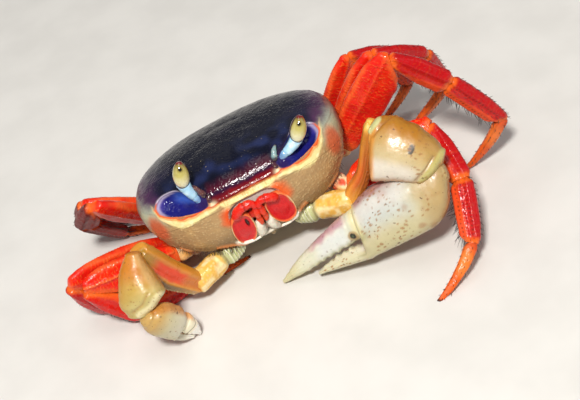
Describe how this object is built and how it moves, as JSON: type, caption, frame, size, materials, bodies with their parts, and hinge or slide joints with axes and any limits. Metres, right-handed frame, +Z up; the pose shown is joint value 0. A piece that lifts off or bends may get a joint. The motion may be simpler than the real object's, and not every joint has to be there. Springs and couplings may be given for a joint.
{
  "type": "land crab",
  "caption": "Life-size land crab standing on level ground, one side raised, walking legs folded and stretched, both unequal claws brought down in front.",
  "frame": {"origin": "on the floor under the middle of the crab's bounding box", "axes": "+Z up from the floor, +X towards the crab's own left, -Y the way it faces"},
  "size_m": [0.1066, 0.0628, 0.0387],
  "materials": {
    "shell": "dark purple-blue shell, wet and smooth",
    "cheeks": "tan granular shell",
    "underside": "cream shell",
    "leg": "wet scarlet shell",
    "leg_joint": "orange shell",
    "claw": "cream and orange shell with brown specks",
    "claw_arm": "yellow-orange shell",
    "mouthparts": "red shell with cream rims",
    "eyestalk": "pale blue-white",
    "eye": "glossy yellow-olive"
  },
  "bodies": {
    "root": {"abdomen": "underside", "breastplate": "underside", "carapace": "shell", "claw_left_base": "claw_arm", "claw_left_carpus": "claw", "claw_left_finger": "claw", "claw_left_hand": "claw", "claw_left_merus": "claw_arm", "claw_right_base": "claw_arm", "claw_right_carpus": "claw", "claw_right_finger": "claw", "claw_right_hand": "claw", "claw_right_merus": "claw_arm", "eye_left": "eye", "eye_right": "eye", "eyestalk_left": "eyestalk", "eyestalk_right": "eyestalk", "face": "cheeks", "leg2_left_base": "leg_joint", "leg2_left_carpus": "leg", "leg2_left_dactyl": "leg_joint", "leg2_left_merus": "leg", "leg2_left_propodus": "leg", "leg2_right_base": "leg_joint", "leg2_right_carpus": "leg", "leg2_right_dactyl": "leg_joint", "leg2_right_merus": "leg", "leg2_right_propodus": "leg", "leg3_left_base": "leg_joint", "leg3_left_carpus": "leg", "leg3_left_dactyl": "leg_joint", "leg3_left_merus": "leg", "leg3_left_propodus": "leg", "leg3_right_base": "leg_joint", "leg3_right_carpus": "leg", "leg3_right_dactyl": "leg_joint", "leg3_right_merus": "leg", "leg3_right_propodus": "leg", "leg4_left_base": "leg_joint", "leg4_left_carpus": "leg", "leg4_left_dactyl": "leg_joint", "leg4_left_merus": "leg", "leg4_left_propodus": "leg", "leg4_right_base": "leg_joint", "leg4_right_carpus": "leg", "leg4_right_dactyl": "leg_joint", "leg4_right_merus": "leg", "leg4_right_propodus": "leg", "leg5_left_base": "leg_joint", "leg5_left_carpus": "leg", "leg5_left_dactyl": "leg_joint", "leg5_left_merus": "leg", "leg5_left_propodus": "leg", "leg5_right_base": "leg_joint", "leg5_right_carpus": "leg", "leg5_right_dactyl": "leg_joint", "leg5_right_merus": "leg", "leg5_right_propodus": "leg", "maxilliped_left": "mouthparts", "maxilliped_right": "mouthparts"}
  },
  "joints": []
}
